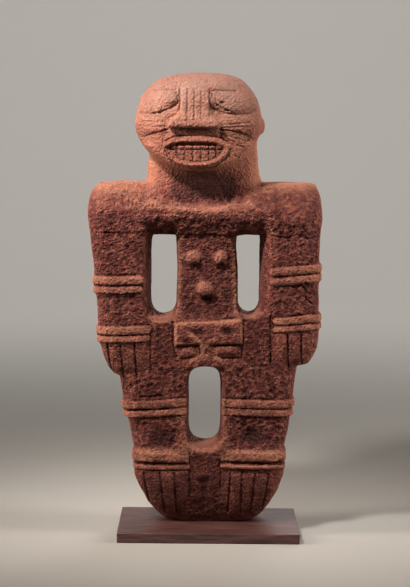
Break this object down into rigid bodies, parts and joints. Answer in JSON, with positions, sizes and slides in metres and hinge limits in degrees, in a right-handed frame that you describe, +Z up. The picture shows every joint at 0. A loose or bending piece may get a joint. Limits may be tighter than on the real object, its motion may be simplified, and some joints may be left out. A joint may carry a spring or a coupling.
{
  "type": "stone statuette",
  "caption": "Carved stone figure standing with its arms at its sides, pierced beside the trunk and between the legs, shown on a thin dark plinth.",
  "frame": {"origin": "middle of the plinth's underside", "axes": "+Z up the figure, -Y the way the figure faces, +X towards the right of the picture"},
  "size_m": [0.2347, 0.116, 0.4613],
  "materials": {
    "stone": "reddish brown volcanic stone, pecked and ground, dry and matt",
    "plinth": "dark brown stain under a satin varnish"
  },
  "bodies": {
    "root": {"statuette": "stone", "plinth": "plinth"}
  },
  "joints": []
}
